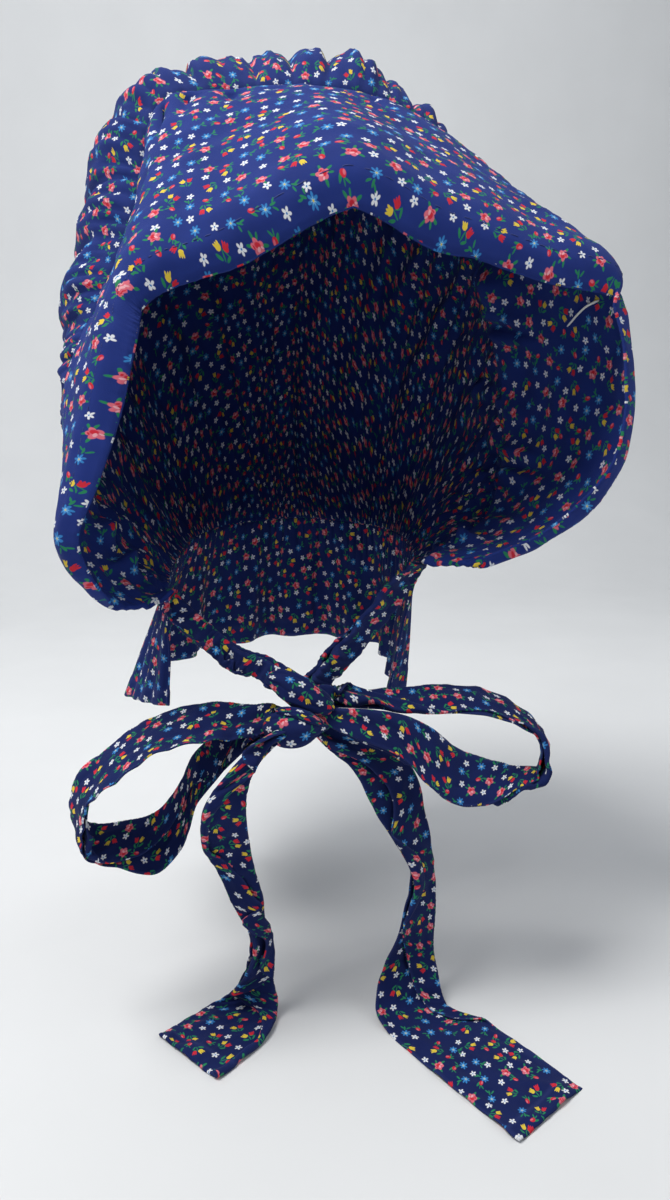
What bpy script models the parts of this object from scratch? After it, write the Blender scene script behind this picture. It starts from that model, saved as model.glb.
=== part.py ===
"""A prairie bonnet of printed cotton: a stiff deep brim with a shallow peak, a puffed crown
gathered behind it, a frill at the neck and two long ties in a bow under the chin.

Metres, +Z up, the face looks along -Y and +X is the wearer's left hand side.
The origin is where the crown rests on the top of the head.
"""
import bpy
import math
from mathutils import Vector

# Sizes of the bonnet as it is worn.
HALF_WIDTH = 0.110
BRIM_REACH = 0.106
BRIM_DROP = 0.220
CROWN_BACK = 0.116
CROWN_PUFF = 0.036
CURTAIN_LENGTH = 0.074

# Sizes of the bow, measured from the middle of its knot. The ties meet the knot above its
# middle, by the TIE_ENTRY share of its height.
KNOT_DROP = 0.042
KNOT_FORWARD = 0.097
KNOT_OFFSET = 0.025
KNOT_WIDTH = 0.029
KNOT_DEPTH = 0.022
KNOT_HEIGHT = 0.032
TIE_ENTRY = 0.36
LOOP_REACH = 0.100
LOOP_SPREAD = 0.034
TAIL_DROP = 0.139

# Cloth: the brim is doubled and stiffened, everything else is soft.
BRIM_THICKNESS = 0.0024
CROWN_THICKNESS = 0.0014
CURTAIN_THICKNESS = 0.0014
TIE_THICKNESS = 0.0014

# Gathers and ruffles.
PLEAT_HEIGHT = 0.0032
RUFFLE_HEIGHT = 0.0060
RUFFLE_COUNT = 9

# Small clearances between sewn or wrapped pieces.
SEAM_GAP = 0.00115
KNOT_GAP = 0.0004

# Fineness of the mesh.
BRIM_STEPS = 3
CROWN_STEPS = 6
STRAP_STEPS = 2

# One row per section of the brim, from the wearer's right jaw over the top to the left jaw.
# Columns: seam across, seam forward, seam down, edge across, edge forward, edge down, bow.
# Across is a share of HALF_WIDTH, forward of BRIM_REACH, down of BRIM_DROP.
# The bow is how far the middle stands off the straight line, as a share of BRIM_REACH.
BRIM_SECTIONS = (
    (-0.67, 0.58, 1.00, -0.91, 0.80, 0.98, 0.02),
    (-0.78, 0.47, 0.96, -0.98, 0.87, 0.93, 0.05),
    (-0.92, 0.34, 0.87, -1.02, 0.92, 0.85, 0.07),
    (-1.02, 0.23, 0.72, -0.94, 0.94, 0.75, 0.06),
    (-1.06, 0.13, 0.58, -0.86, 0.92, 0.64, 0.06),
    (-0.96, 0.11, 0.46, -0.82, 0.91, 0.56, 0.06),
    (-0.84, 0.10, 0.33, -0.79, 0.89, 0.50, 0.05),
    (-0.73, 0.09, 0.19, -0.78, 0.87, 0.47, 0.03),
    (-0.69, 0.08, 0.06, -0.76, 0.87, 0.45, 0.01),
    (-0.60, 0.08, -0.01, -0.67, 0.89, 0.42, 0.03),
    (-0.37, 0.08, -0.03, -0.45, 0.93, 0.38, 0.06),
    (-0.05, 0.08, -0.05, -0.03, 1.00, 0.28, 0.08),
    (0.27, 0.08, -0.04, 0.32, 1.01, 0.34, 0.07),
    (0.54, 0.08, 0.01, 0.68, 1.01, 0.39, 0.05),
    (0.68, 0.08, 0.07, 0.96, 1.00, 0.41, 0.03),
    (0.73, 0.08, 0.19, 0.98, 1.01, 0.44, 0.02),
    (0.78, 0.09, 0.33, 1.01, 1.03, 0.50, 0.04),
    (0.84, 0.10, 0.46, 1.02, 1.05, 0.57, 0.05),
    (0.88, 0.13, 0.58, 1.02, 1.06, 0.64, 0.05),
    (0.87, 0.19, 0.72, 0.98, 1.06, 0.73, 0.05),
    (0.76, 0.32, 0.84, 0.87, 1.02, 0.81, 0.04),
    (0.55, 0.49, 0.90, 0.73, 0.92, 0.88, 0.03),
    (0.35, 0.64, 0.93, 0.56, 0.83, 0.92, 0.01),
)

# One row per station of the crown.
# Columns: brim section, nape across, nape back, nape down, then the pull that the cloth
# leaves the seam with (across, back, up) and the pull it comes to the nape with (the same).
# Across is a share of HALF_WIDTH, back of CROWN_BACK, down and the second up of BRIM_DROP,
# and the first up of CROWN_PUFF.
CROWN_STATIONS = (
    (0, -0.68, -0.38, 1.02, -0.03, 0.07, -0.06, -0.03, -0.05, 0.02),
    (2, -0.67, -0.18, 0.98, -0.10, 0.12, -0.06, -0.14, 0.05, 0.06),
    (4, -0.62, 0.08, 0.95, -0.08, 0.21, -0.10, -0.34, 0.26, 0.16),
    (6, -0.52, 0.36, 0.92, -0.50, 0.31, 0.50, -0.32, 0.68, 0.29),
    (8, -0.33, 0.55, 0.90, -0.54, 0.38, 1.10, -0.24, 0.93, 0.46),
    (11, 0.00, 0.64, 0.89, 0.02, 0.42, 2.35, 0.00, 1.02, 0.58),
    (12, 0.12, 0.62, 0.89, 0.14, 0.42, 2.30, 0.06, 1.01, 0.57),
    (14, 0.33, 0.55, 0.90, 0.04, 0.38, 0.70, 0.28, 0.93, 0.46),
    (16, 0.47, 0.38, 0.91, 0.26, 0.31, 0.30, 0.34, 0.68, 0.29),
    (18, 0.49, 0.12, 0.92, 0.10, 0.21, -0.10, 0.28, 0.26, 0.16),
    (20, 0.45, -0.17, 0.94, 0.06, 0.12, -0.06, 0.11, 0.05, 0.06),
    (22, 0.37, -0.44, 0.95, 0.03, 0.07, -0.06, 0.03, -0.05, 0.02),
)

# The hem of the neck frill, one row per station.
# Columns: brim section, how far it swings across and back, how long the frill is.
# Across is a share of HALF_WIDTH, back of CROWN_BACK, long of CURTAIN_LENGTH.
CURTAIN_STATIONS = (
    (0, -0.01, 0.06, 0.66),
    (2, -0.17, 0.07, 0.82),
    (4, -0.17, 0.08, 0.94),
    (8, -0.08, 0.14, 1.00),
    (11, 0.00, 0.16, 1.00),
    (14, 0.04, 0.14, 1.00),
    (18, -0.02, 0.06, 0.98),
    (22, -0.03, 0.06, 0.90),
)

# Straps of the bow, one row per station, each with its near and its far selvedge.
# Columns: across, forward and up of the near edge, then of the far edge.
# Across is a share of LOOP_REACH, forward and up of LOOP_SPREAD, from the middle of the knot.
LOOP_LEFT = (
    (-0.06, 0.05, -0.18, -0.05, -0.20, 0.02),
    (-0.24, 0.25, -0.24, -0.20, -0.35, 0.04),
    (-0.38, 0.38, -0.20, -0.36, -0.45, 0.04),
    (-0.57, 0.42, -0.28, -0.53, -0.48, -0.05),
    (-0.72, 0.42, -0.55, -0.68, -0.44, -0.25),
    (-0.83, 0.40, -0.82, -0.82, -0.35, -0.53),
    (-0.87, 0.35, -1.08, -0.91, -0.24, -0.78),
    (-0.88, 0.30, -1.38, -0.93, -0.18, -1.12),
    (-0.87, 0.25, -1.60, -0.87, -0.24, -1.36),
    (-0.76, 0.16, -1.77, -0.75, -0.38, -1.44),
    (-0.60, 0.02, -1.98, -0.59, -0.50, -1.39),
    (-0.48, -0.15, -1.72, -0.46, -0.62, -1.02),
    (-0.41, -0.30, -1.22, -0.37, -0.64, -0.58),
    (-0.22, -0.26, -0.60, -0.18, -0.50, -0.34),
    (-0.06, -0.05, -0.20, -0.05, -0.20, -0.15),
)
LOOP_RIGHT = (
    (0.06, -0.10, 0.02, 0.06, -0.24, 0.12),
    (0.28, -0.05, -0.02, 0.26, -0.42, 0.06),
    (0.50, 0.05, -0.13, 0.48, -0.44, 0.04),
    (0.74, 0.12, -0.15, 0.70, -0.46, 0.06),
    (0.92, 0.20, -0.26, 0.92, -0.40, -0.07),
    (1.04, 0.30, -0.47, 1.08, -0.26, -0.38),
    (1.05, 0.38, -0.78, 1.14, -0.12, -0.68),
    (1.03, 0.44, -0.97, 1.10, 0.00, -0.92),
    (0.93, 0.52, -1.03, 0.98, 0.10, -0.90),
    (0.80, 0.58, -1.20, 0.88, 0.14, -0.80),
    (0.65, 0.58, -1.17, 0.70, 0.18, -0.57),
    (0.53, 0.52, -0.92, 0.56, 0.22, -0.24),
    (0.41, 0.40, -0.55, 0.40, 0.22, -0.04),
    (0.20, 0.26, -0.28, 0.18, 0.16, 0.04),
    (0.06, 0.08, -0.10, 0.06, 0.00, 0.02),
)

# The tails: down is a share of TAIL_DROP, across and forward of LOOP_REACH.
# Columns: across, forward, down of the outer edge, then of the inner edge.
TAIL_LEFT = (
    (-0.09, 0.06, 0.04, -0.03, 0.06, 0.05),
    (-0.28, 0.11, 0.14, -0.17, 0.12, 0.12),
    (-0.40, 0.12, 0.24, -0.23, 0.11, 0.22),
    (-0.41, 0.07, 0.36, -0.22, 0.06, 0.36),
    (-0.35, 0.00, 0.46, -0.19, 0.02, 0.48),
    (-0.27, -0.02, 0.60, -0.15, 0.02, 0.60),
    (-0.22, 0.02, 0.72, -0.15, -0.06, 0.72),
    (-0.23, 0.00, 0.82, -0.13, -0.04, 0.81),
    (-0.29, -0.07, 0.93, -0.10, -0.01, 0.92),
    (-0.38, -0.12, 0.99, -0.10, 0.02, 0.99),
    (-0.50, -0.05, 1.00, -0.18, 0.17, 1.00),
    (-0.61, 0.03, 1.00, -0.39, 0.35, 1.00),
)
TAIL_RIGHT = (
    (0.00, 0.00, 0.03, 0.16, -0.06, 0.03),
    (0.13, 0.04, 0.12, 0.32, -0.03, 0.09),
    (0.23, 0.04, 0.19, 0.45, -0.05, 0.17),
    (0.32, 0.04, 0.32, 0.55, -0.05, 0.27),
    (0.41, 0.05, 0.43, 0.58, -0.03, 0.40),
    (0.49, 0.06, 0.56, 0.62, -0.05, 0.56),
    (0.45, 0.05, 0.71, 0.63, -0.05, 0.71),
    (0.38, 0.04, 0.85, 0.63, -0.03, 0.87),
    (0.33, 0.07, 0.97, 0.64, 0.07, 0.97),
    (0.34, 0.19, 1.00, 0.67, 0.15, 1.00),
    (0.45, 0.47, 1.00, 0.79, 0.25, 1.00),
    (0.56, 0.71, 1.00, 0.91, 0.47, 1.00),
    (0.65, 0.91, 1.00, 1.02, 0.69, 1.00),
)

# The ties run from a lower corner of the brim (share 0) to the knot (share 1).
# Columns: share of the way, then across, forward and up from the middle line to one selvedge
# as shares of KNOT_WIDTH, and the sag below the straight way as a share of KNOT_DROP.
TIE_LEFT = (
    (0.002, 0.09, -0.02, 0.12, 0.02),
    (0.16, 0.14, 0.00, 0.10, 0.10),
    (0.34, 0.10, -0.04, 0.12, 0.15),
    (0.55, 0.06, 0.04, 0.13, 0.11),
    (0.75, 0.06, 0.06, 0.15, 0.03),
    (1.00, 0.08, 0.02, 0.14, 0.02),
)
TIE_RIGHT = (
    (0.012, -0.16, 0.20, 0.02, 0.02),
    (0.22, -0.19, 0.14, 0.11, 0.06),
    (0.45, -0.18, 0.12, 0.11, 0.16),
    (0.66, -0.16, 0.10, 0.10, 0.22),
    (0.84, -0.14, 0.08, 0.09, 0.24),
    (1.00, -0.14, 0.06, 0.10, 0.12),
)

# Plain colours that tell the pieces apart.
NAVY = (0.016, 0.022, 0.11)
DEEP_NAVY = (0.012, 0.016, 0.08)
BLUE = (0.022, 0.034, 0.15)


def clear_scene():
    for old in list(bpy.data.objects):
        bpy.data.objects.remove(old, do_unlink=True)


def make_collection(name):
    group = bpy.data.collections.new(name)
    bpy.context.scene.collection.children.link(group)
    return group


def make_material(name, colour):
    material = bpy.data.materials.new(name)
    material.use_nodes = True
    shader = material.node_tree.nodes["Principled BSDF"]
    shader.inputs["Base Color"].default_value = (*colour, 1.0)
    shader.inputs["Roughness"].default_value = 0.85
    material.diffuse_color = (*colour, 1.0)
    return material


def through(values, place):
    """A smooth path through the rows: place 0 is the first row, 1 the second, and so on."""
    last = len(values) - 1
    step = min(max(int(place), 0), last - 1)
    part = place - step
    before = values[max(step - 1, 0)]
    start = values[step]
    end = values[step + 1]
    after = values[min(step + 2, last)]
    result = []
    for a, b, c, d in zip(before, start, end, after):
        slope_in = (c - a) / 2
        slope_out = (d - b) / 2
        cubic = 2 * b - 2 * c + slope_in + slope_out
        square = 3 * c - 3 * b - 2 * slope_in - slope_out
        result.append(((cubic * part + square) * part + slope_in) * part + b)
    return result


def between(values, place):
    """A straight path through points that stand at whole numbers."""
    step = min(max(int(place), 0), len(values) - 2)
    return values[step].lerp(values[step + 1], place - step)


def brim_line(place):
    row = through(BRIM_SECTIONS, place)
    seam = Vector((row[0] * HALF_WIDTH, -row[1] * BRIM_REACH, -row[2] * BRIM_DROP))
    edge = Vector((row[3] * HALF_WIDTH, -row[4] * BRIM_REACH, -row[5] * BRIM_DROP))
    return seam, edge, row[6] * BRIM_REACH


def brim_point(along, out):
    """along runs from jaw to jaw, out from the seam to the front edge."""
    seam, edge, bow = brim_line(along * (len(BRIM_SECTIONS) - 1))
    point = seam.lerp(edge, out)
    away = Vector((point.x, 0.0, point.z + 0.5 * BRIM_DROP)).normalized()
    return point + away * bow * 4 * out * (1 - out)


def seam_lines():
    """The seam as straight pieces between the brim's own columns, and the way out of the brim."""
    count = (len(BRIM_SECTIONS) - 1) * BRIM_STEPS
    points = []
    ways = []
    for column in range(count + 1):
        share = column / count
        start = brim_point(share, 0.0)
        points.append(start)
        ways.append((start - brim_point(share, 0.12)).normalized())
    return points, ways


def station(table, place):
    """The row of a table whose first column is a section of the brim."""
    marks = [row[0] for row in table]
    step = 0
    while step < len(marks) - 2 and marks[step + 1] <= place:
        step += 1
    part = (place - marks[step]) / (marks[step + 1] - marks[step])
    return through([row[1:] for row in table], step + part)


def nape_point(place):
    row = station(CROWN_STATIONS, place)
    return Vector((row[0] * HALF_WIDTH, row[1] * CROWN_BACK, -row[2] * BRIM_DROP))


def pleat(column, out):
    """Height of the gathers: none in the seam, most just behind it, fading over the back."""
    wave = (0.0, 1.0, 0.0, -1.0)[column % 4]
    rise = min(out / 0.10, 1.0)
    fall = 1.0 - 0.75 * min(max((out - 0.3) / 0.5, 0.0), 1.0)
    close = min((1.0 - out) / 0.10, 1.0)
    return wave * rise * fall * close


def crown_point(along, out, seam, ways, columns):
    sections = len(BRIM_SECTIONS) - 1
    place = along * sections
    row = station(CROWN_STATIONS, place)
    start = between(seam, place * BRIM_STEPS)
    way = between(ways, place * BRIM_STEPS)
    start = start + way * SEAM_GAP
    end = nape_point(place)
    leave = Vector((row[3] * HALF_WIDTH, row[4] * CROWN_BACK, row[5] * CROWN_PUFF))
    arrive = Vector((row[6] * HALF_WIDTH, row[7] * CROWN_BACK, row[8] * BRIM_DROP))
    rest = 1 - out
    point = start * rest ** 3 + (start + leave) * 3 * rest ** 2 * out
    point += (end + arrive) * 3 * rest * out ** 2 + end * out ** 3
    away = Vector((point.x, point.y * 0.6, point.z + 0.45 * BRIM_DROP)).normalized()
    width = min(place, sections - place) / 3
    height = PLEAT_HEIGHT * min(width, 1.0)
    return point + away * height * pleat(round(along * columns), out)


def curtain_point(along, down):
    """The frill hangs from the nape and ruffles more towards its hem."""
    place = along * (len(BRIM_SECTIONS) - 1)
    start = nape_point(place) - Vector((0.0, 0.0, SEAM_GAP))
    row = station(CURTAIN_STATIONS, place)
    hang = Vector((row[0] * HALF_WIDTH, row[1] * CROWN_BACK, -row[2] * CURTAIN_LENGTH))
    away = Vector((start.x, start.y, 0.0)).normalized()
    wave = math.sin(2 * math.pi * RUFFLE_COUNT * along)
    return start + hang * down + away * RUFFLE_HEIGHT * down * wave


def knot_middle():
    return Vector((-KNOT_OFFSET, -KNOT_FORWARD, -BRIM_DROP - KNOT_DROP))


def loop_point(rows, along, across):
    row = through(rows, along * (len(rows) - 1))
    near = Vector((row[0] * LOOP_REACH, -row[1] * LOOP_SPREAD, row[2] * LOOP_SPREAD))
    far = Vector((row[3] * LOOP_REACH, -row[4] * LOOP_SPREAD, row[5] * LOOP_SPREAD))
    return knot_middle() + near.lerp(far, across)


def tail_point(rows, along, across):
    row = through(rows, along * (len(rows) - 1))
    outer = Vector((row[0] * LOOP_REACH, -row[1] * LOOP_REACH, -row[2] * TAIL_DROP))
    inner = Vector((row[3] * LOOP_REACH, -row[4] * LOOP_REACH, -row[5] * TAIL_DROP))
    return knot_middle() + outer.lerp(inner, across)


def tie_point(rows, place, along, across):
    row = through(rows, along * (len(rows) - 1))
    corner = brim_point(place, 0.0)
    entry = knot_middle() + Vector((0.0, 0.0, TIE_ENTRY * KNOT_HEIGHT))
    point = corner.lerp(entry, row[0])
    half = Vector((row[1], -row[2], row[3])) * KNOT_WIDTH
    point = point + half * (2 * across - 1)
    return point - Vector((0.0, 0.0, row[4] * KNOT_DROP))


def left_tie_point(rows, along, across):
    return tie_point(rows, 0.0, along, across)


def right_tie_point(rows, along, across):
    return tie_point(rows, 1.0, along, across)


def cloth(name, columns, rows, place, thickness, colour, group):
    """A grid laid out by a function of two shares and thickened to a closed cloth wall."""
    bpy.ops.mesh.primitive_grid_add(x_subdivisions=columns, y_subdivisions=rows, size=2.0)
    piece = bpy.context.object
    piece.name = name
    piece.data.name = name
    for vertex in piece.data.vertices:
        along = round((vertex.co.x + 1) / 2 * columns) / columns
        across = round((vertex.co.y + 1) / 2 * rows) / rows
        vertex.co = place(along, across)
    wall = piece.modifiers.new("wall", "SOLIDIFY")
    wall.thickness = thickness
    wall.offset = 0.0
    settle(piece, name, colour, group)
    return piece


def settle(piece, name, colour, group):
    piece.data.materials.clear()
    piece.data.materials.append(make_material(name, colour))
    for old in list(piece.users_collection):
        old.objects.unlink(piece)
    group.objects.link(piece)


def make_knot(name, gap, colour, group):
    """A squat bundle, pinched where the wrap crosses it."""
    bpy.ops.mesh.primitive_uv_sphere_add(segments=20, ring_count=12, radius=1.0)
    piece = bpy.context.object
    piece.name = name
    piece.data.name = name
    middle = knot_middle()
    for vertex in piece.data.vertices:
        turn = math.atan2(vertex.co.y, vertex.co.x)
        pinch = 1.0 - 0.10 * math.cos(3 * vertex.co.z) * math.cos(2 * turn) ** 2
        size = Vector((KNOT_WIDTH, KNOT_DEPTH, KNOT_HEIGHT)) / 2
        around = vertex.co * pinch
        size += Vector((gap, gap, gap))
        vertex.co = middle + around * size
    settle(piece, name, colour, group)
    return piece


def cut_for_knot(strap, cutter):
    cut = strap.modifiers.new("room for the knot", "BOOLEAN")
    cut.operation = "DIFFERENCE"
    cut.solver = "EXACT"
    cut.object = cutter


def main():
    clear_scene()
    parts = make_collection("prairie_bonnet")
    cutters = make_collection("cutters")
    sections = len(BRIM_SECTIONS) - 1
    seam, ways = seam_lines()
    columns = sections * CROWN_STEPS

    cloth("brim", sections * BRIM_STEPS, 6, brim_point, BRIM_THICKNESS, BLUE, parts)

    def crown_place(along, out):
        return crown_point(along, out, seam, ways, columns)

    cloth("crown", columns, 9, crown_place, CROWN_THICKNESS, NAVY, parts)
    cloth("neck_curtain", RUFFLE_COUNT * 6, 4, curtain_point, CURTAIN_THICKNESS, DEEP_NAVY, parts)

    cutter = make_knot("knot_room", KNOT_GAP, NAVY, cutters)
    cutter.hide_render = True
    cutter.display_type = "WIRE"
    make_knot("knot", 0.0, BLUE, parts)

    def strap(name, rows, point, colour):
        def place(along, across):
            return point(rows, along, across)

        count = (len(rows) - 1) * STRAP_STEPS
        piece = cloth(name, count, 2, place, TIE_THICKNESS, colour, parts)
        cut_for_knot(piece, cutter)

    strap("tie_left", TIE_LEFT, left_tie_point, BLUE)
    strap("tie_right", TIE_RIGHT, right_tie_point, BLUE)
    strap("loop_left", LOOP_LEFT, loop_point, NAVY)
    strap("loop_right", LOOP_RIGHT, loop_point, NAVY)
    strap("tail_left", TAIL_LEFT, tail_point, DEEP_NAVY)
    strap("tail_right", TAIL_RIGHT, tail_point, DEEP_NAVY)


main()
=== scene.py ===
# %% [markdown]
# # A prairie bonnet, dressed in printed calico
#
# The object is a sun bonnet of the kind that was worn on farms: a deep stiffened brim, a crown
# gathered behind it, a frill at the neck and two long ties in a bow. Its solids come from the
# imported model. This script lays finer cloth in the same places and gives it its print.

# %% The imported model
import math

import bpy
import numpy as np
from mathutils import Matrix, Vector, noise


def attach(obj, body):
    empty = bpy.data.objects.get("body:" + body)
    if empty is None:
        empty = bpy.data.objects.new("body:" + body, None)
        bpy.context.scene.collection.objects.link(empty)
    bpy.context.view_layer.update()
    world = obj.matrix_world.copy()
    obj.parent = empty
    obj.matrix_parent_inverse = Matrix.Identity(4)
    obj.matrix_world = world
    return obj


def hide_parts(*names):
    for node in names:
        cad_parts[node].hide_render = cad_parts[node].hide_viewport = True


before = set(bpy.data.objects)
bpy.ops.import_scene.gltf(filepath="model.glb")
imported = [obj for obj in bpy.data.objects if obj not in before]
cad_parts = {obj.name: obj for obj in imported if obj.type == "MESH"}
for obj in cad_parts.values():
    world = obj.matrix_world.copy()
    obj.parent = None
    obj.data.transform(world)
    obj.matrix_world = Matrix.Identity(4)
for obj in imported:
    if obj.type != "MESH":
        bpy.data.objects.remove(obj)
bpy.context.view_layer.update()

print("solids:", sorted(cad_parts))

# %% [markdown]
# ## The cut of the bonnet
#
# The solids were laid out from a few named sizes and short tables of shares. The same sizes and
# tables are repeated here, because cloth that follows the same lines sits where the solids sit.
# Reading the points off the solids would also work, but it would lose where along the seam a
# point belongs, and the gathers and the print both need that.

# %% Sizes of the bonnet, in metres
HALF_WIDTH = 0.110
BRIM_REACH = 0.106
BRIM_DROP = 0.220
CROWN_BACK = 0.116
CROWN_PUFF = 0.036
CURTAIN_LENGTH = 0.074
KNOT_DROP = 0.042
KNOT_FORWARD = 0.097
KNOT_OFFSET = 0.025
KNOT_WIDTH = 0.029
KNOT_HEIGHT = 0.032
TIE_ENTRY = 0.36
LOOP_REACH = 0.100
LOOP_SPREAD = 0.034
TAIL_DROP = 0.139

# %% The brim's sections, from the right jaw over the top to the left jaw
# Columns: seam across, forward, down, edge across, forward, down, bow.
BRIM_SECTIONS = (
    (-0.67, 0.58, 1.00, -0.91, 0.80, 0.98, 0.02),
    (-0.78, 0.47, 0.96, -0.98, 0.87, 0.93, 0.05),
    (-0.92, 0.34, 0.87, -1.02, 0.92, 0.85, 0.07),
    (-1.02, 0.23, 0.72, -0.94, 0.94, 0.75, 0.06),
    (-1.06, 0.13, 0.58, -0.86, 0.92, 0.64, 0.06),
    (-0.96, 0.11, 0.46, -0.82, 0.91, 0.56, 0.06),
    (-0.84, 0.10, 0.33, -0.79, 0.89, 0.50, 0.05),
    (-0.73, 0.09, 0.19, -0.78, 0.87, 0.47, 0.03),
    (-0.69, 0.08, 0.06, -0.76, 0.87, 0.45, 0.01),
    (-0.60, 0.08, -0.01, -0.67, 0.89, 0.42, 0.03),
    (-0.37, 0.08, -0.03, -0.45, 0.93, 0.38, 0.06),
    (-0.05, 0.08, -0.05, -0.03, 1.00, 0.28, 0.08),
    (0.27, 0.08, -0.04, 0.32, 1.01, 0.34, 0.07),
    (0.54, 0.08, 0.01, 0.68, 1.01, 0.39, 0.05),
    (0.68, 0.08, 0.07, 0.96, 1.00, 0.41, 0.03),
    (0.73, 0.08, 0.19, 0.98, 1.01, 0.44, 0.02),
    (0.78, 0.09, 0.33, 1.01, 1.03, 0.50, 0.04),
    (0.84, 0.10, 0.46, 1.02, 1.05, 0.57, 0.05),
    (0.88, 0.13, 0.58, 1.02, 1.06, 0.64, 0.05),
    (0.87, 0.19, 0.72, 0.98, 1.06, 0.73, 0.05),
    (0.76, 0.32, 0.84, 0.87, 1.02, 0.81, 0.04),
    (0.55, 0.49, 0.90, 0.73, 0.92, 0.88, 0.03),
    (0.35, 0.64, 0.93, 0.56, 0.83, 0.92, 0.01),
)
SECTIONS = len(BRIM_SECTIONS) - 1

# %% The crown's stations
# Columns: brim section, nape across, back, down, then the two pulls of the cloth.
CROWN_STATIONS = (
    (0, -0.68, -0.38, 1.02, -0.03, 0.07, -0.06, -0.03, -0.05, 0.02),
    (2, -0.67, -0.18, 0.98, -0.10, 0.12, -0.06, -0.14, 0.05, 0.06),
    (4, -0.62, 0.08, 0.95, -0.08, 0.21, -0.10, -0.34, 0.26, 0.16),
    (6, -0.52, 0.36, 0.92, -0.50, 0.31, 0.50, -0.32, 0.68, 0.29),
    (8, -0.33, 0.55, 0.90, -0.54, 0.38, 1.10, -0.24, 0.93, 0.46),
    (11, 0.00, 0.64, 0.89, 0.02, 0.42, 2.35, 0.00, 1.02, 0.58),
    (12, 0.12, 0.62, 0.89, 0.14, 0.42, 2.30, 0.06, 1.01, 0.57),
    (14, 0.33, 0.55, 0.90, 0.04, 0.38, 0.70, 0.28, 0.93, 0.46),
    (16, 0.47, 0.38, 0.91, 0.26, 0.31, 0.30, 0.34, 0.68, 0.29),
    (18, 0.49, 0.12, 0.92, 0.10, 0.21, -0.10, 0.28, 0.26, 0.16),
    (20, 0.45, -0.17, 0.94, 0.06, 0.12, -0.06, 0.11, 0.05, 0.06),
    (22, 0.37, -0.44, 0.95, 0.03, 0.07, -0.06, 0.03, -0.05, 0.02),
)

# %% The neck frill's stations
# Columns: brim section, swing across, swing back, length.
CURTAIN_STATIONS = (
    (0, -0.01, 0.06, 0.66),
    (2, -0.17, 0.07, 0.82),
    (4, -0.17, 0.08, 0.94),
    (8, -0.08, 0.14, 1.00),
    (11, 0.00, 0.16, 1.00),
    (14, 0.04, 0.14, 1.00),
    (18, -0.02, 0.06, 0.98),
    (22, -0.12, 0.06, 0.92),
)

# %% The straps: near selvedge and far selvedge, measured from the middle of the knot
LOOP_LEFT = (
    (-0.06, 0.05, -0.18, -0.05, -0.20, 0.02),
    (-0.24, 0.25, -0.24, -0.20, -0.35, 0.04),
    (-0.38, 0.38, -0.20, -0.36, -0.45, 0.04),
    (-0.57, 0.42, -0.28, -0.53, -0.48, -0.05),
    (-0.72, 0.42, -0.55, -0.68, -0.44, -0.25),
    (-0.83, 0.40, -0.82, -0.82, -0.35, -0.53),
    (-0.87, 0.35, -1.08, -0.91, -0.24, -0.78),
    (-0.88, 0.30, -1.38, -0.93, -0.18, -1.12),
    (-0.87, 0.25, -1.60, -0.87, -0.24, -1.36),
    (-0.76, 0.16, -1.77, -0.75, -0.38, -1.44),
    (-0.60, 0.02, -1.98, -0.59, -0.50, -1.39),
    (-0.48, -0.15, -1.72, -0.46, -0.62, -1.02),
    (-0.41, -0.30, -1.22, -0.37, -0.64, -0.58),
    (-0.22, -0.26, -0.60, -0.18, -0.50, -0.34),
    (-0.06, -0.05, -0.20, -0.05, -0.20, -0.15),
)
LOOP_RIGHT = (
    (0.06, -0.10, 0.02, 0.06, -0.24, 0.12),
    (0.28, -0.05, -0.02, 0.26, -0.42, 0.06),
    (0.50, 0.05, -0.13, 0.48, -0.44, 0.04),
    (0.74, 0.12, -0.15, 0.70, -0.46, 0.06),
    (0.92, 0.20, -0.26, 0.92, -0.40, -0.07),
    (1.04, 0.30, -0.47, 1.08, -0.26, -0.38),
    (1.05, 0.38, -0.78, 1.14, -0.12, -0.68),
    (1.03, 0.44, -0.97, 1.10, 0.00, -0.92),
    (0.93, 0.52, -1.03, 0.98, 0.10, -0.90),
    (0.80, 0.58, -1.20, 0.88, 0.14, -0.80),
    (0.65, 0.58, -1.17, 0.70, 0.18, -0.57),
    (0.53, 0.52, -0.92, 0.56, 0.22, -0.24),
    (0.41, 0.40, -0.55, 0.40, 0.22, -0.04),
    (0.20, 0.26, -0.28, 0.18, 0.16, 0.04),
    (0.06, 0.08, -0.10, 0.06, 0.00, 0.02),
)
TAIL_LEFT = (
    (-0.09, 0.06, 0.04, -0.03, 0.06, 0.05),
    (-0.28, 0.11, 0.14, -0.17, 0.12, 0.12),
    (-0.40, 0.12, 0.24, -0.23, 0.11, 0.22),
    (-0.41, 0.07, 0.36, -0.22, 0.06, 0.36),
    (-0.35, 0.00, 0.46, -0.19, 0.02, 0.48),
    (-0.27, -0.02, 0.60, -0.15, 0.02, 0.60),
    (-0.22, 0.02, 0.72, -0.15, -0.06, 0.72),
    (-0.23, 0.00, 0.82, -0.13, -0.04, 0.81),
    (-0.29, -0.07, 0.93, -0.10, -0.01, 0.92),
    (-0.38, -0.12, 0.99, -0.10, 0.02, 0.99),
    (-0.50, -0.05, 1.00, -0.18, 0.17, 1.00),
    (-0.61, 0.03, 1.00, -0.39, 0.35, 1.00),
)
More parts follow.
